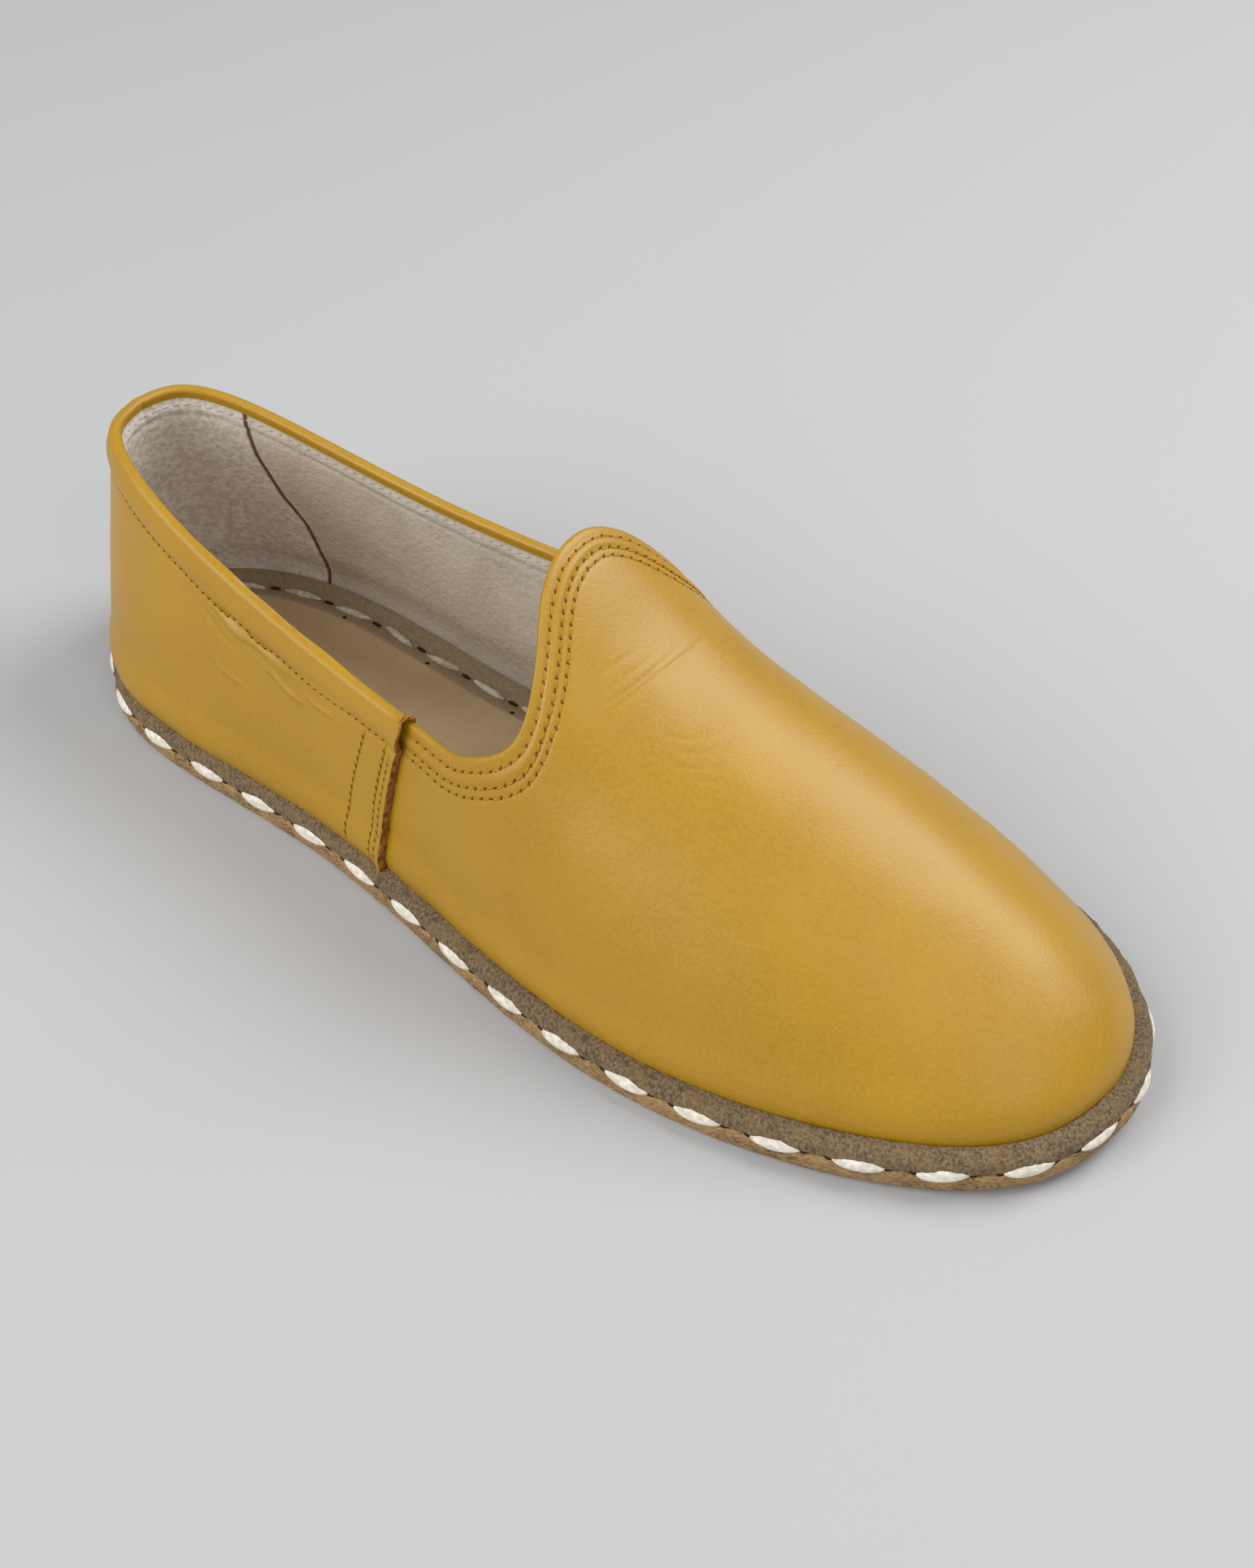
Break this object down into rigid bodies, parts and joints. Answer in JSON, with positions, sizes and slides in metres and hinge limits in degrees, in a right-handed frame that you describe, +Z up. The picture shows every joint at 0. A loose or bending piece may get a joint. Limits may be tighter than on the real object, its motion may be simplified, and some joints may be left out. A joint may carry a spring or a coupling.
{
  "type": "slip-on shoe",
  "caption": "Right leather slip-on shoe with a high tab, low folded collar and hand-stitched rand, on a thin flat leather sole.",
  "frame": {"origin": "on the floor, in plan under the middle of the shoe's box", "axes": "+X from heel to toe, +Z up, -Y to the outer side of a right foot"},
  "size_m": [0.2842, 0.103, 0.0917],
  "materials": {
    "outsole": "natural tan sole leather, waxed edge",
    "rand": "grey-brown suede",
    "insole": "brown smooth leather",
    "upper": "mustard smooth leather, satin"
  },
  "bodies": {
    "root": {"outsole": "outsole", "rand": "rand", "insole": "insole", "upper": "upper"}
  },
  "joints": []
}
